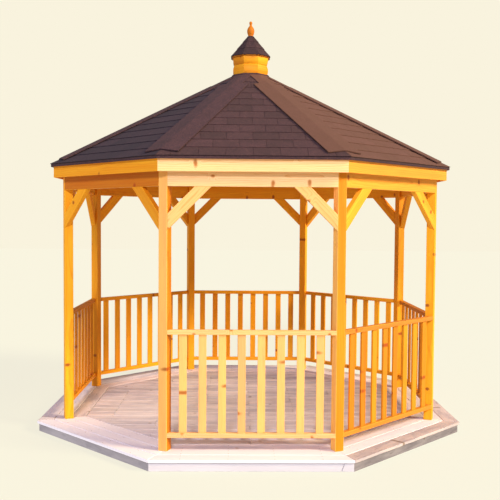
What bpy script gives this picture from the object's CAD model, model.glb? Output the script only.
import math
import random

import bmesh
import bpy
from mathutils import Matrix, Vector


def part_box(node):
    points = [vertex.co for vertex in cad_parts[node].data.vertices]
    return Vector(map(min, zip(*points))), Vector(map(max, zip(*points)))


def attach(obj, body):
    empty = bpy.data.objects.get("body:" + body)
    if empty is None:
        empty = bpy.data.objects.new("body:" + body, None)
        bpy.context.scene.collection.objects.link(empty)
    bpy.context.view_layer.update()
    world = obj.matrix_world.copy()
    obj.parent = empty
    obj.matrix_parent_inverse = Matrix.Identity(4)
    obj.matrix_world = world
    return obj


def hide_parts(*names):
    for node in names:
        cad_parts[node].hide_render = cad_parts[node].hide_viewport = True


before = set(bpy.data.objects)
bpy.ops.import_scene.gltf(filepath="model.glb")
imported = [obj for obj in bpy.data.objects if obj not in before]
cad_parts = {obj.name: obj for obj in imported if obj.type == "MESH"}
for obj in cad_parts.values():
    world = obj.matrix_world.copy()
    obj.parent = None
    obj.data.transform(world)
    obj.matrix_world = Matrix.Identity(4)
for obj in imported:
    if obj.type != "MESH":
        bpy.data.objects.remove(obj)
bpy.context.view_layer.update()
scene = bpy.context.scene

# Viewpoint
# A tall person stands seven metres from the middle of the building, a hand's breadth to
# the left of its centre line, and looks slightly down at the front bay.
deck_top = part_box("deck_floor")[1].z
eye_height = 1.725
eye_reach = 7.242
eye_turn = math.radians(-0.88)
eye_dip = math.radians(2.53)
eye_tilt = math.radians(0.41)
camera_data = bpy.data.cameras.new("viewpoint")
camera_data.sensor_width = 36.0
camera_data.lens = 54.9
camera_data.shift_x = 0.0017
camera_data.shift_y = 0.0089
camera = bpy.data.objects.new("viewpoint", camera_data)
camera.location = (
    eye_reach * math.sin(eye_turn), -eye_reach * math.cos(eye_turn), deck_top + eye_height
)
camera.rotation_euler = (
    Matrix.Rotation(eye_turn, 4, "Z")
    @ Matrix.Rotation(math.radians(90) - eye_dip, 4, "X")
    @ Matrix.Rotation(eye_tilt, 4, "Z")
).to_euler()
scene.collection.objects.link(camera)
scene.camera = camera

# Rim of the deck
# Eight softwood boards on edge, bare and weathered to a silver grey, mitred at the
# corners and screwed to the ends of the bearers. The front one has bleached most,
# and a slanted split runs through it.
sides = {
    "front": -90, "front_right": -45, "right": 0, "back_right": 45,
    "back": 90, "back_left": 135, "left": 180, "front_left": -135,
}
half_turn = math.radians(22.5)
flare = math.tan(half_turn)
grain_orders = {"x": (0, 1, 2), "y": (1, 2, 0), "z": (2, 0, 1)}
chance = random.Random(8)
# Boards that meet are left this far apart.
clearance = 0.0003


def facing(angle):
    """Turns what is made for one side, outwards along +X, to the side at this angle."""
    return Matrix.Rotation(math.radians(angle), 4, "Z")


def mitre(clear=clearance):
    """The two upright planes that bound a side, each set back by a clearance."""
    planes = []
    for hand in (-1, 1):
        normal = Vector((-math.sin(half_turn), hand * math.cos(half_turn), 0))
        planes.append((-normal * clear, normal))
    return planes


def pile():
    """An empty mesh with room for each board's grain, tone, bleaching and arrises."""
    timber = bmesh.new()
    timber.verts.layers.float_vector.new("grain")
    timber.verts.layers.float.new("tone")
    timber.verts.layers.float.new("bleach")
    timber.faces.layers.float.new("arris")
    return timber


def lay(timber, board):
    """Lays a finished board on the pile."""
    cut_mesh = bpy.data.meshes.new("board")
    board.to_mesh(cut_mesh)
    timber.from_mesh(cut_mesh)
    bpy.data.meshes.remove(cut_mesh)
    board.free()


def squared(board, low, high):
    """The square edged blank that most boards are sawn from."""
    bmesh.ops.create_cube(board, size=1.0)
    bmesh.ops.scale(board, vec=high - low, verts=board.verts)
    bmesh.ops.translate(board, vec=(low + high) / 2, verts=board.verts)


def saw(timber, low, high, along, cuts=(), ease=0.002, rounds=2, lean=Matrix(),
        place=Matrix(), tone=0.0, bleach=0.0, blank=squared):
    """Saws one board. Its blank, often overlong, is leaned, trimmed by planes, eased, and
    put in its place. A low tone is a dark board, and bleach is how pale it has gone."""
    board = pile()
    grain = board.verts.layers.float_vector["grain"]
    tones = board.verts.layers.float["tone"]
    bleaches = board.verts.layers.float["bleach"]
    arris = board.faces.layers.float["arris"]
    low, high = Vector(low), Vector(high)
    blank(board, low, high)
    bmesh.ops.transform(board, matrix=lean, verts=board.verts)
    for point, normal in cuts:
        everything = board.verts[:] + board.edges[:] + board.faces[:]
        trimmed = bmesh.ops.bisect_plane(
            board, geom=everything, plane_co=point, plane_no=normal, clear_outer=True
        )
        rim = [e for e in trimmed["geom_cut"] if isinstance(e, bmesh.types.BMEdge)]
        if rim:
            bmesh.ops.edgeloop_fill(board, edges=rim)
    if not board.faces:
        board.free()
        return
    bmesh.ops.recalc_face_normals(board, faces=board.faces)
    eased = bmesh.ops.bevel(
        board, geom=[e for e in board.edges if e.calc_face_angle(0.0) > 0.5], offset=ease,
        segments=rounds, profile=0.5, affect="EDGES", material=-1, clamp_overlap=True,
    )
    for face in eased["faces"]:
        face[arris] = 1.0
    bmesh.ops.dissolve_degenerate(board, dist=0.00005, edges=board.edges[:])
    # The heart of the tree lay beside the board, and no two boards share it.
    heart = Vector((
        chance.uniform(0, 40), chance.uniform(-0.05, 0.05),
        chance.choice((-1, 1)) * chance.uniform(0.055, 0.11),
    ))
    shade = tone + chance.uniform(-1, 1)
    upright = lean.inverted()
    for vert in board.verts:
        near = upright @ vert.co - (low + high) / 2
        vert[grain] = Vector([near[axis] for axis in grain_orders[along]]) + heart
        vert[tones] = shade
        vert[bleaches] = bleach
    bmesh.ops.transform(board, matrix=place, verts=board.verts)
    lay(timber, board)


def built(name, shape, finish):
    """Makes the object of a finished shape, with its material."""
    mesh = bpy.data.meshes.new(name)
    shape.to_mesh(mesh)
    shape.free()
    mesh.materials.append(finish)
    piece = bpy.data.objects.new(name, mesh)
    scene.collection.objects.link(piece)
    return piece


def linear(colour):
    """Turns an sRGB hex value into the linear colour that shaders take."""
    parts = [int(colour[i:i + 2], 16) / 255 for i in (1, 3, 5)]
    return [c / 12.92 if c <= 0.04045 else ((c + 0.055) / 1.055) ** 2.4 for c in parts] + [1.0]


def add(tree, kind, inputs=None, stops=None, **fields):
    """Adds one node: its fields, its inputs as values or links, and a ramp's stops."""
    node = tree.nodes.new(kind)
    for field, value in fields.items():
        setattr(node, field, value)
    for place, value in (inputs or {}).items():
        if isinstance(value, bpy.types.NodeSocket):
            tree.links.new(value, node.inputs[place])
        else:
            node.inputs[place].default_value = value
    if stops:
        ramp = node.color_ramp
        while len(ramp.elements) < len(stops):
            ramp.elements.new(1.0)
        for element, (position, colour) in zip(ramp.elements, stops):
            element.position = position
            element.color = linear(colour)
    return node


def empty_material(name):
    """A material that holds only its shader and its output."""
    material = bpy.data.materials.new(name)
    material.use_nodes = True
    return material, material.node_tree, material.node_tree.nodes["Principled BSDF"]


def wood_figure(tree, ring_mm, knot_share):
    """The figure of a softwood board: growth rings round its heart, fibres and knots."""
    place = add(tree, "ShaderNodeAttribute", attribute_name="grain").outputs["Vector"]
    # The rings waver by about 10 mm over half a metre of length.
    drift = add(tree, "ShaderNodeMapping", {"Vector": place, "Scale": (2.0, 7.0, 7.0)})
    sway = add(tree, "ShaderNodeTexNoise", {
        "Vector": drift.outputs[0], "Scale": 1.0, "Detail": 3.0, "Roughness": 0.55,
    })
    centred = add(tree, "ShaderNodeVectorMath", {
        0: sway.outputs["Color"], 1: (0.5, 0.5, 0.5),
    }, operation="SUBTRACT")
    pushed = add(tree, "ShaderNodeVectorMath", {
        0: centred.outputs[0], 1: (0.03, 0.03, 0.03), 2: place,
    }, operation="MULTIPLY_ADD")
    axes = add(tree, "ShaderNodeSeparateXYZ", {0: pushed.outputs[0]})
    around = add(tree, "ShaderNodeMath", {
        0: axes.outputs[2], 1: axes.outputs[1],
    }, operation="ARCTAN2")
    # Knots run out from the heart like spokes. They are measured 60 mm away from it, in
    # cells of 140 mm, and only some cells hold one, about 28 mm across.
    arc = add(tree, "ShaderNodeMath", {0: around.outputs[0], 1: 0.06}, operation="MULTIPLY")
    unrolled = add(tree, "ShaderNodeCombineXYZ", {0: axes.outputs[0], 1: arc.outputs[0]})
    cells = add(tree, "ShaderNodeTexVoronoi", {
        "Vector": unrolled.outputs[0], "Scale": 7.0,
    }, voronoi_dimensions="2D", feature="F1")
    share = add(tree, "ShaderNodeSeparateColor", {0: cells.outputs["Color"]})
    held = add(tree, "ShaderNodeMath", {
        0: share.outputs[0], 1: 1.0 - knot_share,
    }, operation="GREATER_THAN")
    core = add(tree, "ShaderNodeMapRange", {
        "Value": cells.outputs["Distance"], "From Min": 0.045, "From Max": 0.15,
        "To Min": 1.0, "To Max": 0.0,
    }, interpolation_type="SMOOTHSTEP")
    knot = add(tree, "ShaderNodeMath", {0: core.outputs[0], 1: held.outputs[0]}, operation="MULTIPLY")
    swell = add(tree, "ShaderNodeMapRange", {
        "Value": cells.outputs["Distance"], "From Min": 0.03, "From Max": 0.38,
        "To Min": 0.024, "To Max": 0.0,
    }, interpolation_type="SMOOTHERSTEP")
    bent = add(tree, "ShaderNodeMath", {0: swell.outputs[0], 1: held.outputs[0]}, operation="MULTIPLY")
    across = add(tree, "ShaderNodeVectorMath", {
        0: pushed.outputs[0], 1: (0.0, 1.0, 1.0),
    }, operation="MULTIPLY")
    radius = add(tree, "ShaderNodeVectorMath", {0: across.outputs[0]}, operation="LENGTH")
    swollen = add(tree, "ShaderNodeMath", {
        0: radius.outputs["Value"], 1: bent.outputs[0],
    }, operation="ADD")
    turns = add(tree, "ShaderNodeMath", {
        0: swollen.outputs[0], 1: 1000.0 / ring_mm,
    }, operation="MULTIPLY")
    turn = add(tree, "ShaderNodeMath", {0: turns.outputs[0]}, operation="FRACT")
    # Each ring darkens slowly through the summer wood and stops sharply.
    rings = add(tree, "ShaderNodeValToRGB", {0: turn.outputs[0]}, stops=[
        (0.0, "#000000"), (0.45, "#202020"), (0.80, "#B4B4B4"), (0.93, "#FFFFFF"), (1.0, "#101010"),
    ])
    # Fibres are drawn 3 mm apart, coarser than the real ones, so that they still show.
    stretched = add(tree, "ShaderNodeMapping", {
        "Vector": pushed.outputs[0], "Scale": (5.0, 330.0, 330.0),
    })
    fibres = add(tree, "ShaderNodeTexNoise", {
        "Vector": stretched.outputs[0], "Scale": 1.0, "Detail": 3.0, "Roughness": 0.6,
    })
    broad = add(tree, "ShaderNodeMapping", {"Vector": place, "Scale": (1.6, 16.0, 16.0)})
    streaks = add(tree, "ShaderNodeTexNoise", {
        "Vector": broad.outputs[0], "Scale": 1.0, "Detail": 2.0,
    })
    return rings.outputs[0], fibres.outputs["Fac"], streaks.outputs["Fac"], knot.outputs[0]


def weathered_softwood(name, pale, brown, grey):
    """Bare softwood left outdoors: silvered, with raised summer wood and drying checks."""
    material, tree, shader = empty_material(name)
    rings, fibres, streaks, knot = wood_figure(tree, ring_mm=11.0, knot_share=0.12)
    tone = add(tree, "ShaderNodeAttribute", attribute_name="tone").outputs["Fac"]
    bleach = add(tree, "ShaderNodeAttribute", attribute_name="bleach").outputs["Fac"]
    place = add(tree, "ShaderNodeAttribute", attribute_name="grain").outputs["Vector"]
    body = add(tree, "ShaderNodeMix", {
        "Factor": streaks, 6: linear(pale), 7: linear(brown),
    }, data_type="RGBA")
    ring_depth = add(tree, "ShaderNodeMath", {0: rings, 1: 0.38}, operation="MULTIPLY")
    ringed = add(tree, "ShaderNodeMix", {
        "Factor": ring_depth.outputs[0], 6: body.outputs[2], 7: linear(grey),
    }, data_type="RGBA")
    # Rain marks and blown dust lie in soft patches, drawn out along the grain.
    drawn_out = add(tree, "ShaderNodeMapping", {"Vector": place, "Scale": (2.6, 11.0, 11.0)})
    patches = add(tree, "ShaderNodeTexNoise", {
        "Vector": drawn_out.outputs[0], "Scale": 1.0, "Detail": 4.0, "Roughness": 0.65,
    })
    patch = add(tree, "ShaderNodeMapRange", {
        "Value": patches.outputs["Fac"], "From Min": 0.44, "From Max": 0.66,
        "To Min": 0.0, "To Max": 0.7,
    })
    marked = add(tree, "ShaderNodeMix", {
        "Factor": patch.outputs[0], 6: ringed.outputs[2], 7: linear(grey),
    }, data_type="RGBA")
    knotted = add(tree, "ShaderNodeMix", {
        "Factor": knot, 6: marked.outputs[2], 7: linear("#9C887C"),
    }, data_type="RGBA")
    # Drying checks are dark hairlines 20 to 80 mm long.
    lined = add(tree, "ShaderNodeMapping", {"Vector": place, "Scale": (9.0, 150.0, 150.0)})
    checks = add(tree, "ShaderNodeTexNoise", {
        "Vector": lined.outputs[0], "Scale": 1.0, "Detail": 1.0,
    })
    check = add(tree, "ShaderNodeMapRange", {
        "Value": checks.outputs["Fac"], "From Min": 0.68, "From Max": 0.76,
        "To Min": 0.0, "To Max": 0.7,
    })
    checked = add(tree, "ShaderNodeMix", {
        "Factor": check.outputs[0], 6: knotted.outputs[2], 7: linear("#5A4A42"),
    }, data_type="RGBA")
    level = add(tree, "ShaderNodeMapRange", {
        "Value": tone, "From Min": -4.0, "From Max": 2.0, "To Min": 0.49, "To Max": 1.18,
    })
    shaded = add(tree, "ShaderNodeHueSaturation", {
        "Value": level.outputs[0], "Color": checked.outputs[2],
    })
    bleached = add(tree, "ShaderNodeMix", {
        "Factor": bleach, 6: shaded.outputs[0], 7: linear("#F8F2FB"),
    }, data_type="RGBA")
    tree.links.new(bleached.outputs[2], shader.inputs["Base Color"])
    relief = add(tree, "ShaderNodeMath", {
        0: rings, 1: 0.6, 2: fibres,
    }, operation="MULTIPLY_ADD")
    cracked = add(tree, "ShaderNodeMath", {
        0: relief.outputs[0], 1: check.outputs[0],
    }, operation="SUBTRACT")
    bump = add(tree, "ShaderNodeBump", {
        "Strength": 0.55, "Distance": 0.0012, "Height": cracked.outputs[0],
    })
    tree.links.new(bump.outputs[0], shader.inputs["Normal"])
    rough = add(tree, "ShaderNodeMapRange", {
        "Value": fibres, "To Min": 0.74, "To Max": 0.95,
    })
    tree.links.new(rough.outputs[0], shader.inputs["Roughness"])
    shader.inputs["Specular IOR Level"].default_value = 0.25
    return material


rim_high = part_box("deck_rim")[1]
bearer_top = rim_high.z
rim_thick = 0.038
rim_bleach = {"front": 0.55, "front_left": 0.1}
rim_tone = -2.2
damp_line = 0.013
damp_tone = -4.0
damp_bleach = 0.3
silvered_timber = weathered_softwood("silvered_softwood", "#CFC7CC", "#A79DA3", "#837D86")
rim = pile()
split_slant = Vector((0, 0.94, -0.35)).normalized()
split_at = Vector((0, 0.665, bearer_top / 2))
split_half_gap = 0.0015
for side, angle in sides.items():
    low = (rim_high.y - rim_thick, -rim_high.y * flare, 0)
    high = (rim_high.y, rim_high.y * flare, bearer_top)
    parts = [mitre()]
    if side == "front":
        parts = [
            mitre() + [(split_at - hand * split_slant * split_half_gap, hand * split_slant)]
            for hand in (-1, 1)
        ]
    # The boards on the right are the darkest.
    for cuts in parts:
        saw(rim, low, high, "y", cuts, place=facing(angle), bleach=rim_bleach.get(side, 0.0),
            tone=damp_tone if "right" in side else rim_tone)
# A dark line runs along the top edge of every board, under the nosing.
bmesh.ops.bisect_plane(
    rim, geom=rim.verts[:] + rim.edges[:] + rim.faces[:],
    plane_co=(0, 0, bearer_top - damp_line), plane_no=(0, 0, 1),
)
tones = rim.verts.layers.float["tone"]
bleaches = rim.verts.layers.float["bleach"]
for vert in rim.verts:
    if vert.co.z > bearer_top - damp_line / 2:
        vert[tones] = damp_tone
        vert[bleaches] *= damp_bleach
deck_rim = built("deck_rim_boards", rim, silvered_timber)
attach(deck_rim, "root")
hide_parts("deck_rim")

# Bearers of the deck
# Sawn joists that lie on the ground 400 mm apart. Every deck board is screwed to them,
# and their ends are nailed through the rim.
bearer_wide = 0.045
bearer_pitch = 0.4
bearer_reach = rim_high.y - rim_thick - clearance


def octagon(half_width):
    """The eight upright planes of an octagon, from half its width across the flats."""
    outwards = [facing(angle) @ Vector((1, 0, 0)) for angle in sides.values()]
    return [(normal * half_width, normal) for normal in outwards]


bearers = pile()
bearers_each_side = int((bearer_reach - bearer_wide) / bearer_pitch)
bearer_lines = [bearer_pitch * n for n in range(-bearers_each_side, bearers_each_side + 1)]
for line in bearer_lines:
    saw(bearers, (line - bearer_wide / 2, -2, 0), (line + bearer_wide / 2, 2, bearer_top), "y",
        octagon(bearer_reach), ease=0.0015, tone=-0.8)
deck_bearers = built("deck_bearer_joists", bearers, silvered_timber)
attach(deck_bearers, "root")
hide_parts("deck_bearers")

# Border of the deck
# Three rows of planed softwood boards frame the floor, mitred at the corners, and the
# outer row stands 15 mm over the rim. Sun and rain reach them, so they have bleached.
border_wide = 0.124
border_rows = 3
deck_gap = 0.005
mitre_gap = 0.0015
deck_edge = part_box("deck_border")[1].y
weathered_board = weathered_softwood("weathered_deck_board", "#F1E5E5", "#D6C2BC", "#9F97A6")
# How far each row has bleached, from the outer one inwards, and on the sides not named.
row_bleach = {
    "front": (0.80, 0.75, 0.30), "front_left": (0.95, 0.92, 0.80), "left": (0.35, 0.30, 0.10),
    "front_right": (0.0, 0.66, 0.40), "right": (0.0, 0.35, 0.20),
}
usual_bleach = (0.2, 0.2, 0.1)
outer_tone = -0.5
border = pile()
for side, angle in sides.items():
    for row in range(border_rows):
        out = deck_edge - row * (border_wide + deck_gap)
        saw(border, (out - border_wide, -1, bearer_top), (out, 1, deck_top), "y",
            mitre(mitre_gap), ease=0.003, place=facing(angle),
            bleach=row_bleach.get(side, usual_bleach)[row],
            tone=outer_tone if row == 0 and "right" in side else 0.0)
deck_border = built("deck_border_boards", border, weathered_board)
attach(deck_border, "root")
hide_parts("deck_border")

# Floor of the deck
# Twenty rows of planed softwood boards fill the border, butted on the bearers. The roof
# keeps most rain off them, so they are browner than the border, with greyer patches.
floor_rows = 20
floor_half = deck_edge - border_rows * (border_wide + deck_gap)
floor_pitch = (2 * floor_half + deck_gap) / floor_rows
# The longest rows are pieced out with a short board at their left end.
longest_rows = range(6, 13)
short_end = -1.2
short_bleach = 0.12
butt_patterns = [(0.0, 0.8), (-0.8, 0.4), (-0.4, 1.2)]
butt_gap = 0.002
floor = pile()
for row in range(floor_rows):
    near = -floor_half + row * floor_pitch
    joints = list(butt_patterns[row % len(butt_patterns)])
    if row in longest_rows:
        joints = [short_end] + joints
    # Each row is a little paler than the one behind it.
    row_pale = 0.44 - 0.028 * row
    row_tone = -0.2 - 0.09 * row
    for start, end in zip([-2.0] + joints, joints + [2.0]):
        saw(floor, (start + butt_gap / 2, near, bearer_top),
            (end - butt_gap / 2, near + floor_pitch - deck_gap, deck_top), "x",
            octagon(floor_half - mitre_gap), ease=0.003,
            bleach=row_pale if end > short_end else short_bleach, tone=row_tone)
deck_floor = built("deck_floor_boards", floor, weathered_board)
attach(deck_floor, "root")
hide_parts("deck_floor")

# Deck screws
# Two countersunk screws hold each board at every bearer. Their passivated steel heads
# are 8 mm across and barely proud of the wood, so they look like dull brass dots.
screw_inset = 0.026
screw_aside = 0.009
border_screws = (-0.52, -0.17, 0.17, 0.52)
head_radius = 0.004
head_high = 0.0012
screw_material, tree, shader = empty_material("passivated_steel_screw")
scuffs = add(tree, "ShaderNodeTexNoise", {
    "Vector": add(tree, "ShaderNodeTexCoord").outputs["Object"], "Scale": 900.0, "Detail": 2.0,
})
tarnish = add(tree, "ShaderNodeValToRGB", {0: scuffs.outputs["Fac"]}, stops=[
    (0.35, "#7A6A4C"), (0.65, "#A8956C"),
])
tree.links.new(tarnish.outputs[0], shader.inputs["Base Color"])
shader.inputs["Metallic"].default_value = 0.9
shader.inputs["Roughness"].default_value = 0.45
screws = bmesh.new()


def drive(at):
    """Drives one screw: its head is a low cone with a recess for the driver."""
    head = bmesh.ops.create_cone(
        screws, segments=10, radius1=head_radius, radius2=0.85 * head_radius, depth=head_high,
        cap_ends=True, matrix=Matrix.Translation(at),
    )
    caps = {f for v in head["verts"] for f in v.link_faces if f.normal.z > 0.9}
    bmesh.ops.inset_individual(screws, faces=list(caps), thickness=0.0018, depth=-0.0008)


for row in range(floor_rows):
    near = -floor_half + row * floor_pitch
    for line in bearer_lines:
        for across in (near + screw_inset, near + floor_pitch - deck_gap - screw_inset):
            if max(abs(line), abs(across), (abs(line) + abs(across)) / math.sqrt(2)) < floor_half:
                drive((line + screw_aside, across, deck_top))
for angle in sides.values():
    for row in range(border_rows):
        out = deck_edge - row * (border_wide + deck_gap)
        for along in border_screws:
            for back in (screw_inset, border_wide - screw_inset):
                drive(facing(angle) @ Vector((out - back, along, deck_top)))
deck_screws = built("deck_screws", screws, screw_material)
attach(deck_screws, "root")

# Posts
# Eight 72 mm square posts of planed redwood pine under a honey coloured stain. Each
# stands on the deck with two faces square to the centre line through its corner.
post_wide = 0.072
post_low, post_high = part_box("post_right_front")
post_middle = (post_low + post_high) / 2
post_reach = math.hypot(post_middle.x, post_middle.y)
seat = post_high.z
corners = {
    "front_left": -112.5, "front_right": -67.5, "right_front": -22.5, "right_back": 22.5,
    "back_right": 67.5, "back_left": 112.5, "left_back": 157.5, "left_front": -157.5,
}


def stained_softwood(name, pale, middle, dark, knot_colour):
    """Planed softwood under a satin wood stain, its knots and summer wood darker."""
    material, tree, shader = empty_material(name)
    rings, fibres, streaks, knot = wood_figure(tree, ring_mm=9.0, knot_share=0.26)
    tone = add(tree, "ShaderNodeAttribute", attribute_name="tone").outputs["Fac"]
    body = add(tree, "ShaderNodeValToRGB", {0: streaks}, stops=[(0.30, pale), (0.72, middle)])
    ring_depth = add(tree, "ShaderNodeMath", {0: rings, 1: 0.42}, operation="MULTIPLY")
    ringed = add(tree, "ShaderNodeMix", {
        "Factor": ring_depth.outputs[0], 6: body.outputs[0], 7: linear(dark),
    }, data_type="RGBA")
    # The stain soaks into the ends of the fibres and leaves short darker flecks.
    fleck = add(tree, "ShaderNodeMapRange", {
        "Value": fibres, "From Min": 0.52, "From Max": 0.75, "To Min": 0.0, "To Max": 0.35,
    })
    flecked = add(tree, "ShaderNodeMix", {
        "Factor": fleck.outputs[0], 6: ringed.outputs[2], 7: linear(dark),
    }, data_type="RGBA")
    knotted = add(tree, "ShaderNodeMix", {
        "Factor": knot, 6: flecked.outputs[2], 7: linear(knot_colour),
    }, data_type="RGBA")
    # Boards that took more stain are redder as well as darker.
    deep = add(tree, "ShaderNodeMapRange", {
        "Value": tone, "From Min": 0.5, "From Max": -4.0, "To Min": 0.0, "To Max": 0.75,
    })
    redder = add(tree, "ShaderNodeMix", {
        "Factor": deep.outputs[0], 6: knotted.outputs[2], 7: linear("#BC4C0E"),
    }, data_type="RGBA")
    level = add(tree, "ShaderNodeMapRange", {
        "Value": tone, "From Min": -2.0, "From Max": 2.0, "To Min": 0.88, "To Max": 1.10,
    })
    shaded = add(tree, "ShaderNodeHueSaturation", {
        "Value": level.outputs[0], "Color": redder.outputs[2],
    })
    # Rubbed arrises have lost some stain and show paler.
    arris = add(tree, "ShaderNodeAttribute", attribute_name="arris").outputs["Fac"]
    rubbing = add(tree, "ShaderNodeMapRange", {
        "Value": streaks, "From Min": 0.35, "From Max": 0.60, "To Min": 0.0, "To Max": 0.6,
    })
    worn = add(tree, "ShaderNodeMath", {0: arris, 1: rubbing.outputs[0]}, operation="MULTIPLY")
    rubbed = add(tree, "ShaderNodeMix", {
        "Factor": worn.outputs[0], 6: shaded.outputs[0], 7: linear(pale),
    }, data_type="RGBA")
    # Where the sun has bleached the stain, only the summer wood keeps its colour.
    bleach = add(tree, "ShaderNodeAttribute", attribute_name="bleach").outputs["Fac"]
    dry = add(tree, "ShaderNodeMath", {
        0: rings, 1: 0.55, 2: fleck.outputs[0],
    }, operation="MULTIPLY_ADD", use_clamp=True)
    dry_grain = add(tree, "ShaderNodeMix", {
        "Factor": dry.outputs[0], 6: linear("#FFEBC4"), 7: linear("#E9A961"),
    }, data_type="RGBA")
    dry_knot = add(tree, "ShaderNodeMix", {
        "Factor": knot, 6: dry_grain.outputs[2], 7: linear("#C88848"),
    }, data_type="RGBA")
    faded = add(tree, "ShaderNodeMix", {
        "Factor": bleach, 6: rubbed.outputs[2], 7: dry_knot.outputs[2],
    }, data_type="RGBA")
    tree.links.new(faded.outputs[2], shader.inputs["Base Color"])
    height = add(tree, "ShaderNodeMath", {0: rings, 1: 0.5, 2: fibres}, operation="MULTIPLY_ADD")
    bump = add(tree, "ShaderNodeBump", {
        "Strength": 0.3, "Distance": 0.0008, "Height": height.outputs[0],
    })
    tree.links.new(bump.outputs[0], shader.inputs["Normal"])
    rough = add(tree, "ShaderNodeMapRange", {"Value": fibres, "To Min": 0.48, "To Max": 0.68})
    tree.links.new(rough.outputs[0], shader.inputs["Roughness"])
    shader.inputs["Specular IOR Level"].default_value = 0.22
    return material


honey_stain = stained_softwood(
    "honey_stained_redwood", "#FFB824", "#F6A012", "#D2700A", "#A85A18"
)
post_tone = {"back_left": 1.2, "back_right": 1.2, "left_back": -0.8, "right_back": -1.3}
usual_tone = 0.6
front_bleach = 0.22
# One face of each of the front two posts is a deeper orange: the axis it faces along,
# where it lies, and how far its tone drops.
heart_face = {
    "front_left": (1, post_wide / 2, 2.6), "front_right": (0, post_reach + post_wide / 2, 2.4),
}
for corner, angle in corners.items():
    post = pile()
    saw(post, (post_reach - post_wide / 2, -post_wide / 2, deck_top),
        (post_reach + post_wide / 2, post_wide / 2, seat), "z", ease=0.004,
        place=facing(angle), bleach=front_bleach if corner.startswith("front") else 0.0,
        tone=post_tone.get(corner, usual_tone))
    bleaches = post.verts.layers.float["bleach"]
    tones = post.verts.layers.float["tone"]
    dark_axis, dark_at, drop = heart_face.get(corner, (0, 0, 0))
    for vert in post.verts:
        if abs((facing(-angle) @ vert.co)[dark_axis] - dark_at) < 0.0002:
            vert[tones] -= drop
            vert[bleaches] = 0.0
    square_post = built("square_post_" + corner, post, honey_stain)
    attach(square_post, "root")
    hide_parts("post_" + corner)

# Balustrades
# Seven panels, one in each bay but the way in. Flat pickets are housed between two
# rails of 45 by 35 mm, and the rails are toe nailed to the sides of the posts.
flush = -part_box("head_beam_front")[0].y
rail_thick = 0.045
rail_high = 0.035
picket_wide = 0.058
picket_thick = 0.018
picket_count = 8
picket_housing = 0.002
rails_low, rails_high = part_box("balustrade_front")
panel_half = rails_high.x
between_posts = mitre(post_wide / 2 + clearance)
# The stain is palest at the front, and deepest in the panels on the left and the right.
# A lower tone is a deeper stain.
side_fade = {"front": 0.52, "front_right": 0.05}
rail_fade = {side: 0.7 * fade for side, fade in side_fade.items()}
picket_fade = {"front": 0.28}
panel_tone = {
    "front": -0.5, "left": -2.1, "back_right": -0.9, "front_right": -2.2, "right": -2.1,
}
picket_space = (2 * panel_half - picket_count * picket_wide) / (picket_count + 1)
picket_out = flush - (rail_thick - picket_thick) / 2
picket_foot = rails_low.z + rail_high - picket_housing
picket_head = rails_high.z - rail_high + picket_housing
way_in = "front_left"
for side, angle in sides.items():
    if side != way_in:
        panel = pile()
        for foot in (rails_low.z, rails_high.z - rail_high):
            saw(panel, (flush - rail_thick, -1, foot), (flush, 1, foot + rail_high), "y",
                between_posts, ease=0.003, place=facing(angle),
                bleach=rail_fade.get(side, 0), tone=panel_tone.get(side, 0))
        for count in range(picket_count):
            start = -panel_half + picket_space + count * (picket_wide + picket_space)
            saw(panel, (picket_out - picket_thick, start, picket_foot),
                (picket_out, start + picket_wide, picket_head), "z", ease=0.0025,
                place=facing(angle), bleach=picket_fade.get(side, 0),
                tone=panel_tone.get(side, 0))
        railing = built("railing_panel_" + side, panel, honey_stain)
        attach(railing, "root")
        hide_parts("balustrade_" + side)

# Head beams
# Eight planks of 145 by 45 mm on edge tie the tops of the posts together. They are
# cut to the slant of the post sides and lie flush with the posts' outer corners.
beam_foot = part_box("head_beam_front")[0].z
beam_thick = 0.045
beam_tone = {way_in: -3.2, "back_left": -0.3, "back": 0.2, "back_right": -0.3}
for side, angle in sides.items():
    beam = pile()
    saw(beam, (flush - beam_thick, -1, beam_foot), (flush, 1, seat), "y", between_posts,
        ease=0.003, place=facing(angle), bleach=side_fade.get(side, 0),
        tone=beam_tone.get(side, 0))
    head_beam = built("head_plank_" + side, beam, honey_stain)
    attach(head_beam, "root")
    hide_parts("head_beam_" + side)

# Knee braces
# Two struts in each bay, 86 mm wide and cut at 45 degrees, stiffen the corners between
# posts and beams. Screws go in through the slanted ends.
brace_wide = 0.086
brace_leg = 0.324
brace_cut = brace_wide * math.sqrt(2)
brace_tone = {**beam_tone, way_in: -0.8}
brace_fade = {side: 0.6 * fade for side, fade in side_fade.items()}
brace_head = beam_foot - clearance
under_beam = (Vector((0, 0, brace_head)), Vector((0, 0, 1)))
post_side = panel_half + clearance
braces = pile()
for side, angle in sides.items():
    for hand in (-1, 1):
        middle = Vector((
            0, hand * (post_side - brace_leg / 2 + brace_cut / 4),
            brace_head - brace_leg / 2 + brace_cut / 4,
        ))
        slant = Matrix.Translation(middle) @ Matrix.Rotation(math.radians(-45 * hand), 4, "X")
        saw(braces, (flush - beam_thick, -0.45, -brace_wide / 2),
            (flush, 0.45, brace_wide / 2), "y", between_posts + [under_beam],
            ease=0.003, lean=slant, place=facing(angle),
            bleach=brace_fade.get(side, 0), tone=brace_tone.get(side, 0))
knee_braces = built("knee_brace_struts", braces, honey_stain)
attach(knee_braces, "root")
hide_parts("knee_braces")

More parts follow.
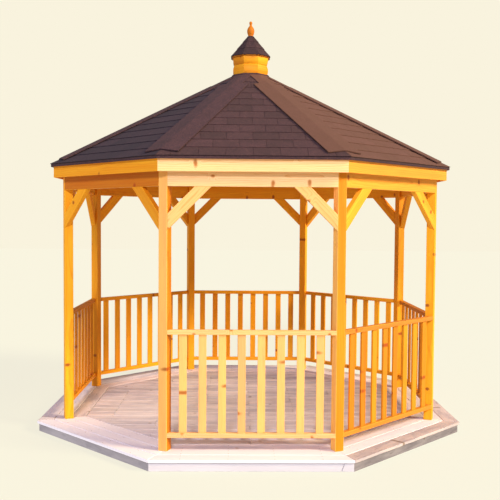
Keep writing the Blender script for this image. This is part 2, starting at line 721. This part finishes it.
# Fascia
# Eight planed boards of 102 by 20 mm close the rafter ends. They are mitred at the
# corners, their top edges planed to the slope of the roof, and nailed to the rafters.
roof_pitch = math.radians(29.5)
slope = Vector((math.sin(roof_pitch), 0, math.cos(roof_pitch)))
fascia_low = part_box("fascia_boards")[0]
fascia_out = -fascia_low.y
fascia_thick = 0.020
fascia_deep = 0.102
fascia_gap = 0.00025
fascia_tone = {"right": -1.4}
fascia_top = fascia_low.z + fascia_deep
apex = fascia_top + fascia_out * math.tan(roof_pitch)
fascia = pile()
for side, angle in sides.items():
    saw(fascia, (fascia_out - fascia_thick, -1, fascia_low.z),
        (fascia_out, 1, fascia_top + 0.05), "y",
        mitre(fascia_gap) + [(Vector((0, 0, apex - clearance)), slope)],
        ease=0.002, place=facing(angle), bleach=side_fade.get(side, 0),
        tone=fascia_tone.get(side, 0))
fascia_boards = built("fascia_planks", fascia, honey_stain)
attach(fascia_boards, "root")
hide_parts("fascia_boards")

# Hub and rafters
# Sawn rafters of 45 mm: one up each hip to an eight sided hub, and one up the middle of
# each side, shorter. All sit on the posts and beams and are skew nailed.
rafter_wide = 0.045
rafter_blank = (-0.2, 2.4)
hub_half = 0.066
hip_fall = math.tan(roof_pitch) * math.cos(half_turn)
hip_angle = math.atan(hip_fall)
hip_lap = rafter_wide / 2 * math.sin(half_turn) * math.tan(roof_pitch)
roof_stain = stained_softwood(
    "dipped_roof_softwood", "#E09A38", "#CA7822", "#9C5412", "#6A3610"
)


def rafter(timber, top, fall, depth, start, end, place):
    """A rafter with upright ends and a level seat, its top edge falling outwards."""
    leaned = Matrix.Translation((0, 0, top)) @ Matrix.Rotation(fall, 4, "Y")
    tilt = math.cos(fall)
    saw(timber, (rafter_blank[0], -rafter_wide / 2, -depth * tilt),
        (rafter_blank[1], rafter_wide / 2, 0), "x", [
            (Vector((start, 0, 0)), Vector((-1, 0, 0))), (Vector((end, 0, 0)), Vector((1, 0, 0))),
            (Vector((0, 0, seat)), Vector((0, 0, -1))),
        ], ease=0.0015, lean=leaned, place=place)


hips = pile()
hip_top = apex - hip_lap - clearance
hip_depth = hip_top - (post_reach - post_wide / 2) * hip_fall - seat
hip_end = (fascia_out - fascia_thick) / math.cos(half_turn) - rafter_wide / 2 * flare - clearance
for angle in corners.values():
    rafter(hips, hip_top, hip_angle, hip_depth, hub_half + clearance, hip_end, facing(angle))
hip_rafters = built("hip_rafter_set", hips, roof_stain)
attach(hip_rafters, "root")
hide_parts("hip_rafters")

commons = pile()
common_top = apex - clearance
common_depth = common_top - (flush - beam_thick) * math.tan(roof_pitch) - seat
common_start = (rafter_wide / 2 + rafter_wide / 2 / math.cos(half_turn) + clearance) / flare
common_end = fascia_out - fascia_thick - clearance
for angle in sides.values():
    rafter(commons, common_top, roof_pitch, common_depth, common_start, common_end, facing(angle))
common_rafters = built("common_rafter_set", commons, roof_stain)
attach(common_rafters, "root")
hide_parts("common_rafters")

hub = pile()
hub_low, hub_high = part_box("roof_hub")
hub_turn = Matrix.Rotation(half_turn, 4, "Z")
hub_cuts = [(hub_turn @ point, hub_turn @ normal) for point, normal in octagon(hub_half)]
saw(hub, (-0.1, -0.1, hub_low.z), (0.1, 0.1, hub_high.z), "z", hub_cuts, ease=0.003)
roof_hub = built("turned_roof_hub", hub, roof_stain)
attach(roof_hub, "root")
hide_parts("roof_hub")

# Roof boarding
# Softwood boards, 120 mm wide and 16 mm thick, run across the rafters from hip to hip.
# Their eased edges leave a small V at each joint on the inside of the roof.
boarding_thick = 0.016
eave_out = -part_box("roof_covering")[0].y
boarding_top = apex + boarding_thick / math.cos(roof_pitch)
boarding_cover = 0.120
boarding_gap = 0.0004
eave_spare = 0.020
slope_length = eave_out / math.cos(roof_pitch)
eave_cut = (Vector((eave_out, 0, 0)), Vector((1, 0, 0)))
peak_cut = (Vector((hub_half / 2, 0, 0)), Vector((-1, 0, 0)))
fallen = Matrix.Translation((0, 0, apex)) @ Matrix.Rotation(roof_pitch, 4, "Y")
for side, angle in sides.items():
    boarding = pile()
    for count in range(int(slope_length / boarding_cover) + 1):
        end = slope_length + eave_spare - count * boarding_cover
        saw(boarding, (end - boarding_cover + boarding_gap, -1, 0), (end, 1, boarding_thick),
            "y", mitre() + [eave_cut, peak_cut], ease=0.002, lean=fallen, place=facing(angle))
    boards = built("roof_planks_" + side, boarding, roof_stain)
    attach(boards, "root")
    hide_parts("roof_boarding_" + side)

# Shingles
# Strips of felt shingles in brown mineral granules, nailed in courses that show 143 mm.
# The strips are slit into tabs, each course is offset by half a tab, and the lower
# edges stand proud of the course below.
course_show = 0.143
course_lap = 0.050
tab_wide = 0.200
tab_slit = 0.0025
tab_thick = 0.0045
tab_rise = 0.0062
tab_bed = 0.0006
tail_out = 0.006


def granule_felt(name, base, fleck_dark, fleck_pale):
    """Bitumen felt pressed with mineral granules: matt, speckled, and gritty to touch."""
    material, tree, shader = empty_material(name)
    place = add(tree, "ShaderNodeAttribute", attribute_name="grain").outputs["Vector"]
    tone = add(tree, "ShaderNodeAttribute", attribute_name="tone").outputs["Fac"]
    # Granules are about 1.5 mm across. They are drawn 4 mm across so that they show.
    granules = add(tree, "ShaderNodeTexVoronoi", {"Vector": place, "Scale": 250.0})
    grit = add(tree, "ShaderNodeSeparateColor", {0: granules.outputs["Color"]})
    speckle = add(tree, "ShaderNodeValToRGB", {0: grit.outputs[0]}, stops=[
        (0.0, fleck_dark), (0.35, base), (0.70, base), (1.0, fleck_pale),
    ])
    clouds = add(tree, "ShaderNodeTexNoise", {
        "Vector": place, "Scale": 9.0, "Detail": 4.0, "Roughness": 0.65,
    })
    cloudy = add(tree, "ShaderNodeMapRange", {
        "Value": clouds.outputs["Fac"], "From Min": 0.3, "From Max": 0.7,
        "To Min": 0.82, "To Max": 1.18,
    })
    level = add(tree, "ShaderNodeMapRange", {
        "Value": tone, "From Min": -4.0, "From Max": 2.0, "To Min": 0.44, "To Max": 1.28,
    })
    both = add(tree, "ShaderNodeMath", {
        0: cloudy.outputs[0], 1: level.outputs[0],
    }, operation="MULTIPLY")
    shaded = add(tree, "ShaderNodeHueSaturation", {
        "Value": both.outputs[0], "Color": speckle.outputs[0],
    })
    # A bleach below nothing turns the granules slate blue, as on the left of the roof.
    bleach = add(tree, "ShaderNodeAttribute", attribute_name="bleach").outputs["Fac"]
    shady = add(tree, "ShaderNodeMapRange", {
        "Value": bleach, "From Min": 0.0, "From Max": -1.0, "To Min": 0.0, "To Max": 1.0,
    })
    cooler = add(tree, "ShaderNodeMix", {
        "Factor": shady.outputs[0], 6: shaded.outputs[0], 7: linear("#2A2338"),
    }, data_type="RGBA")
    # A bleach above nothing turns them a dusty brown, as on the right of the roof.
    dusty = add(tree, "ShaderNodeMix", {
        "Factor": bleach, 6: cooler.outputs[2], 7: linear("#98663F"),
    }, data_type="RGBA")
    tree.links.new(dusty.outputs[2], shader.inputs["Base Color"])
    bump = add(tree, "ShaderNodeBump", {
        "Strength": 0.5, "Distance": 0.001, "Height": granules.outputs["Distance"],
    })
    tree.links.new(bump.outputs[0], shader.inputs["Normal"])
    shader.inputs["Roughness"].default_value = 0.92
    return material


granule_shingle = granule_felt("mineral_felt_shingle", "#432931", "#281A22", "#5E3D3C")
decking_plane = Matrix.Translation((0, 0, boarding_top)) @ Matrix.Rotation(roof_pitch, 4, "Y")
drum_half = 0.163
drum_back = 0.135
courses = int((slope_length - drum_back / math.cos(roof_pitch)) / course_show) + 1
tab_long = course_show + course_lap
tab_lift = math.atan(tab_rise / tab_long)
felt_thick = 0.0012
felt_gap = 0.0002
felt_out = 0.004
felt_turn = 0.021
felt_tone = -2.0
roof_dust = {
    "front_right": 0.26, "right": 0.24, "back_right": 0.15, "front": 0.02,
    "front_left": -0.40, "left": -0.40, "back_left": -0.15,
}
roof_tone = {"front_left": -2.5, "left": -2.3, "back_left": -1.2, "front": -0.9}
shingles = pile()
edge_top = boarding_top - eave_out * math.tan(roof_pitch)
for side, angle in sides.items():
    # The underlay covers the slope and is turned down over the edge of the boarding.
    saw(shingles, (drum_back, -1, felt_gap), (slope_length + felt_out, 1, felt_thick), "x",
        mitre(felt_gap), ease=0.0003, rounds=1, lean=decking_plane, place=facing(angle),
        tone=felt_tone)
    saw(shingles, (eave_out + felt_gap, -1, edge_top - felt_turn),
        (eave_out + felt_out, 1, edge_top + 0.001), "y", mitre(felt_gap), ease=0.0005, rounds=1,
        place=facing(angle), tone=felt_tone)
    for course in range(courses):
        tail = slope_length + tail_out - course * course_show
        half = tail * math.cos(roof_pitch) * flare
        shift = tab_wide / 2 * (course % 2)
        first = -math.ceil((half + shift) / tab_wide)
        strip_tone = chance.uniform(-0.5, 0.5)
        for count in range(first, -first + 1):
            left = count * tab_wide + shift
            if left > half or left + tab_wide < -half:
                continue
            ragged = chance.uniform(-0.002, 0.001)
            lie = (
                decking_plane @ Matrix.Translation((tail - tab_long + ragged, 0, tab_bed))
                @ Matrix.Rotation(-tab_lift, 4, "Y")
            )
            saw(shingles, (0, left + tab_slit / 2, 0),
                (tab_long, left + tab_wide - tab_slit / 2, tab_thick), "x",
                mitre(0.001), ease=0.0008, rounds=1, lean=lie, place=facing(angle),
                tone=strip_tone + roof_tone.get(side, 0), bleach=roof_dust.get(side, 0))
# A strip of felt closes the angle at the foot of the cupola, its top edge bevelled.
collar_half = 0.012
collar_high = 0.024
collar_foot = boarding_top - drum_half * math.tan(roof_pitch)
collar_bevel = (
    Vector((drum_half, 0, collar_foot + collar_high - 0.002)), Vector((1, 0, 1)).normalized()
)
for angle in sides.values():
    saw(shingles, (drum_half - collar_half, -0.2, collar_foot),
        (drum_half + collar_half, 0.2, collar_foot + collar_high), "y",
        mitre(felt_gap) + [collar_bevel], ease=0.0008, rounds=1, place=facing(angle),
        tone=felt_tone)
roof_covering = built("shingle_courses", shingles, granule_shingle)
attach(roof_covering, "root")
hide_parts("roof_covering")

# Hip caps
# A long strip of the same felt, 140 mm each side of the fold, is nailed over each hip
# from the eaves up. It stops short of the cupola and laps a narrower piece there.
cap_half = 0.140
cap_thick = 0.008
cap_rise = 0.015
cap_lift = 0.004
cap_bare = 0.26
cap_lap = 0.06
cap_setback = 0.070
under_half = 0.080
under_rise = 0.012
# The wings are bent a little less than the roof is, in radians, and so clear the tabs.
wing_lift = 0.045
fold_round = 0.008
hip_fold = math.asin(math.sin(half_turn) * math.sin(roof_pitch))
cap_end = (eave_out - cap_setback) / math.cos(half_turn) / math.cos(hip_angle)
cap_start = drum_half / math.cos(hip_angle)


def folded_cap(timber, long, half, fold, thick, lie, tone=0.0, bleach=0.0):
    """Adds one strip of shingle folded along its middle, its fold slightly rounded."""
    cap = pile()
    grain = cap.verts.layers.float_vector["grain"]
    tones = cap.verts.layers.float["tone"]
    bleaches = cap.verts.layers.float["bleach"]
    bmesh.ops.create_grid(cap, x_segments=2, y_segments=2, size=0.5)
    bmesh.ops.translate(cap, vec=(0.5, 0, 0), verts=cap.verts)
    bmesh.ops.scale(cap, vec=(long, 2 * half, 1), verts=cap.verts)
    start = Vector((chance.uniform(0, 40), chance.uniform(0, 40), 0))
    for vert in cap.verts:
        vert[grain] = vert.co + start
        vert[tones] = tone
        vert[bleaches] = bleach
    for hand in (-1, 1):
        bmesh.ops.rotate(
            cap, cent=(0, 0, 0), matrix=Matrix.Rotation(-hand * fold, 3, "X"),
            verts=[v for v in cap.verts if v.co.y * hand > 0.001],
        )
    ridge = [e for e in cap.edges if all(abs(v.co.y) < 0.001 for v in e.verts)]
    bmesh.ops.bevel(
        cap, geom=ridge, offset=fold_round, segments=3, profile=0.5, affect="EDGES",
        material=-1,
    )
    bmesh.ops.recalc_face_normals(cap, faces=cap.faces)
    if sum(f.normal.z for f in cap.faces) < 0:
        bmesh.ops.reverse_faces(cap, faces=cap.faces)
    bmesh.ops.solidify(cap, geom=cap.faces[:], thickness=thick)
    bmesh.ops.transform(cap, matrix=lie, verts=cap.verts)
    lay(timber, cap)


cap_dust = {"front_right": 0.26, "right_front": 0.26, "right_back": 0.22, "back_right": 0.12}
caps = pile()
for corner, angle in corners.items():
    for tail, head, half, rise, lift in (
        (cap_end, cap_start + cap_bare, cap_half, cap_rise, cap_lift),
        (cap_start + cap_bare + cap_lap, cap_start, under_half, under_rise, 0.0),
    ):
        lie = (
            facing(angle) @ Matrix.Translation((0, 0, boarding_top))
            @ Matrix.Rotation(hip_angle, 4, "Y") @ Matrix.Translation((head, 0, rise))
            @ Matrix.Rotation(-math.atan(lift / (tail - head)), 4, "Y")
        )
        folded_cap(caps, tail - head, half, hip_fold - wing_lift, cap_thick, lie,
                   chance.uniform(-0.9, 0.1), cap_dust.get(corner, 0))
hip_caps = built("folded_hip_caps", caps, granule_shingle)
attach(hip_caps, "root")
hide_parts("hip_caps")

# Cupola walls
# Two courses of rounded log boards on each of the eight sides, mitred at the corners
# and nailed to blocks inside. The same honey stain as the posts.
log_high = 0.105
log_bulge = 0.013
log_gap = 0.002
shingle_bed = 0.005
drum_high = 0.186
drum_foot = boarding_top + shingle_bed / math.cos(roof_pitch) - drum_half * math.tan(roof_pitch)
drum_top = drum_foot + drum_high
left_tone = -1.4


def rounded(board, low, high):
    """The blank of a log board: flat behind, its face part of a wide cylinder."""
    half_high = log_high / 2
    radius = (half_high ** 2 + log_bulge ** 2) / 2 / log_bulge
    swing = 2 * math.asin(half_high / radius)
    foot = [board.verts.new((high.x - log_bulge, y, low.z)) for y in (low.y, high.y)]
    bmesh.ops.spin(
        board, geom=foot + [board.edges.new(foot)], cent=(high.x - radius, 0, (low.z + high.z) / 2),
        axis=(0, 1, 0), angle=-swing, steps=12,
    )
    face = board.faces[:]
    for strip in face:
        strip.smooth = True
    back = bmesh.ops.extrude_face_region(board, geom=face)
    behind = [v for v in back["geom"] if isinstance(v, bmesh.types.BMVert)]
    for vert in behind:
        vert.co.x = low.x
    bmesh.ops.recalc_face_normals(board, faces=board.faces)


drum_boards = pile()
foot_plane = (Vector((0, 0, drum_foot + drum_half * math.tan(roof_pitch) + clearance)), -slope)
head_plane = (Vector((0, 0, drum_top - clearance)), Vector((0, 0, 1)))
for side, angle in sides.items():
    for foot in (drum_foot, drum_foot + log_high):
        saw(drum_boards, (drum_back, -0.1, foot + log_gap / 2),
            (drum_half, 0.1, foot + log_high - log_gap / 2), "y",
            mitre() + [foot_plane, head_plane], ease=0.0015, place=facing(angle),
            tone=left_tone if "left" in side else 0.0, blank=rounded)
cupola_walls = built("cupola_log_boards", drum_boards, honey_stain)
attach(cupola_walls, "root")
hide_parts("cupola_walls")

# Cupola roof
# A small octagonal roof on a thin board, under three courses of the same felt, with two
# folded strips over each hip. A thin stained drip board closes its edge.
cap_pitch = math.radians(52.4)
cap_out = 0.174
cap_lip = 0.008
cap_rim = 0.010
drip_high = 0.020
drip_out = cap_out - 0.001
drip_back = cap_out - 0.014
drip_tone = -1.0
cap_deck_top = drum_top + 0.006
cap_felt_bed = 0.002
cap_edge = drum_top - cap_lip
cap_apex = cap_edge + cap_rim + cap_out * math.tan(cap_pitch)
finial_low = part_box("cupola_finial")[0]
cap_peak = finial_low.z - clearance
under_felt = (
    Vector((0, 0, cap_apex - cap_felt_bed)),
    Vector((math.sin(cap_pitch), 0, math.cos(cap_pitch))),
)
drip = pile()
for angle in sides.values():
    saw(drip, (drip_back, -0.2, cap_edge), (drip_out, 0.2, cap_edge + drip_high), "y",
        mitre() + [under_felt], ease=0.001, place=facing(angle), tone=drip_tone)
saw(drip, (-0.25, -0.25, drum_top + clearance), (0.25, 0.25, cap_deck_top), "x",
    octagon(drip_back - 0.0005), ease=0.0005, tone=drip_tone)
drip_board = built("cupola_drip_boards", drip, roof_stain)
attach(drip_board, "root")
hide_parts("cupola_roof")

cap_slope = cap_out / math.cos(cap_pitch)
cap_courses = 3
cap_course_show = 0.088
cap_course_lap = 0.020
cap_felt_thick = 0.004
cap_felt_gap = 0.0005
cap_felt_tone = -2.2
peak_plane = (Vector((0, 0, cap_peak)), Vector((0, 0, 1)))
cap_felt = pile()
cap_fallen = Matrix.Translation((0, 0, cap_apex)) @ Matrix.Rotation(cap_pitch, 4, "Y")
for angle in sides.values():
    for course in range(cap_courses):
        tail = cap_slope + tail_out - course * cap_course_show
        long = cap_course_show + cap_course_lap
        lie = (
            cap_fallen @ Matrix.Translation((tail - long, 0, -cap_felt_bed))
            @ Matrix.Rotation(-math.atan(tab_thick / long), 4, "Y")
        )
        saw(cap_felt, (0, -0.2, 0), (long, 0.2, cap_felt_thick), "x",
            mitre(cap_felt_gap) + [peak_plane], ease=0.0008, rounds=1, lean=lie, place=facing(angle),
            tone=cap_felt_tone)
cap_hip_angle = math.atan(math.tan(cap_pitch) * math.cos(half_turn))
cap_hip_fold = math.asin(math.sin(half_turn) * math.sin(cap_pitch))
cap_hip_long = cap_out / math.cos(half_turn) / math.cos(cap_hip_angle)
cap_hip_half = 0.028
cap_hip_rise = 0.0035
cap_hip_lift = 0.002
# Where the lower and the upper strip end, down the hip from the peak.
cap_hip_strips = ((cap_hip_long + 0.004, 0.14), (0.165, 0.035))
for angle in corners.values():
    for foot, head in cap_hip_strips:
        lie = (
            facing(angle) @ Matrix.Translation((0, 0, cap_apex))
            @ Matrix.Rotation(cap_hip_angle, 4, "Y")
            @ Matrix.Translation((head, 0, cap_hip_rise))
            @ Matrix.Rotation(-math.atan(cap_hip_lift / (foot - head)), 4, "Y")
        )
        folded_cap(cap_felt, foot - head, cap_hip_half, cap_hip_fold, cap_felt_thick, lie,
                   chance.uniform(-3.0, -2.0))
cupola_roof = built("cupola_felt_cap", cap_felt, granule_shingle)
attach(cupola_roof, "root")
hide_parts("cupola_roof")

# Finial
# Turned on a lathe from the same redwood: a foot, a swelling body, a thin neck and a
# small ball. It is screwed down into the peak of the cupola.
finial_profile = [
    (0.0, 0.0), (0.0240, 0.0), (0.0245, 0.006), (0.0232, 0.011), (0.0260, 0.019),
    (0.0312, 0.033), (0.0338, 0.049), (0.0336, 0.063), (0.0290, 0.079), (0.0200, 0.093),
    (0.0134, 0.101), (0.0108, 0.107), (0.0120, 0.112), (0.0114, 0.116), (0.0122, 0.120),
    (0.0138, 0.126), (0.0140, 0.133), (0.0122, 0.139), (0.0080, 0.1435), (0.0, 0.145),
]
finial_tone = -3.4
finial_heart = (0.02, -0.04)
finial = pile()
outline = [finial.verts.new((r, 0, finial_low.z + z)) for r, z in finial_profile]
for below, above in zip(outline, outline[1:]):
    finial.edges.new((below, above))
bmesh.ops.spin(
    finial, geom=finial.verts[:] + finial.edges[:], cent=(0, 0, 0), axis=(0, 0, 1),
    angle=math.tau, steps=48, use_merge=True,
)
bmesh.ops.remove_doubles(finial, verts=finial.verts[:], dist=0.00005)
bmesh.ops.recalc_face_normals(finial, faces=finial.faces[:])
grain = finial.verts.layers.float_vector["grain"]
tones = finial.verts.layers.float["tone"]
for vert in finial.verts:
    vert[tones] = finial_tone
    vert[grain] = (vert.co.z, vert.co.x + finial_heart[0], vert.co.y + finial_heart[1])
for face in finial.faces:
    face.smooth = True
turned_finial = built("turned_finial", finial, honey_stain)
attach(turned_finial, "root")
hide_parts("cupola_finial")

# Studio
# A plain cream floor that runs to the horizon, an even cream surround, a warm key light
# from the right of the front, and a weaker cool fill from the front.
cream = linear("#F9F3DE")
floor_bmesh = bmesh.new()
bmesh.ops.create_grid(floor_bmesh, x_segments=1, y_segments=1, size=40.0)
bmesh.ops.translate(floor_bmesh, vec=(0, 0, -0.002), verts=floor_bmesh.verts)
cream_floor, tree, shader = empty_material("matt_cream_floor")
shader.inputs["Base Color"].default_value = linear("#606663")
shader.inputs["Roughness"].default_value = 1.0
shader.inputs["Specular IOR Level"].default_value = 0.0
shader.inputs["Emission Color"].default_value = cream
shader.inputs["Emission Strength"].default_value = 0.85
studio_floor = built("studio_floor", floor_bmesh, cream_floor)

world = bpy.data.worlds.new("studio")
world.use_nodes = True
scene.world = world
tree = world.node_tree
surround = tree.nodes["Background"]
surround.inputs["Color"].default_value = cream
skylight = add(tree, "ShaderNodeBackground", {"Color": linear("#DCDDEE"), "Strength": 0.40})
seen = add(tree, "ShaderNodeLightPath")
choice = add(tree, "ShaderNodeMixShader", {
    0: seen.outputs["Is Camera Ray"], 1: skylight.outputs[0], 2: surround.outputs[0],
})
tree.links.new(choice.outputs[0], tree.nodes["World Output"].inputs["Surface"])


def lamp(name, towards, strength, colour, softness):
    """Adds a distant lamp that shines in one direction."""
    light = bpy.data.lights.new(name, "SUN")
    light.energy = strength
    light.color = linear(colour)[:3]
    light.angle = math.radians(softness)
    holder = bpy.data.objects.new(name, light)
    holder.rotation_euler = Vector(towards).to_track_quat("-Z", "Y").to_euler()
    scene.collection.objects.link(holder)


lamp("key", (-0.85, 0.34, -0.52), 4.3, "#FFE9BC", 16)
lamp("fill", (0.08, 1.0, -0.52), 2.2, "#F2F0FF", 9)
scene.view_settings.view_transform = "Standard"
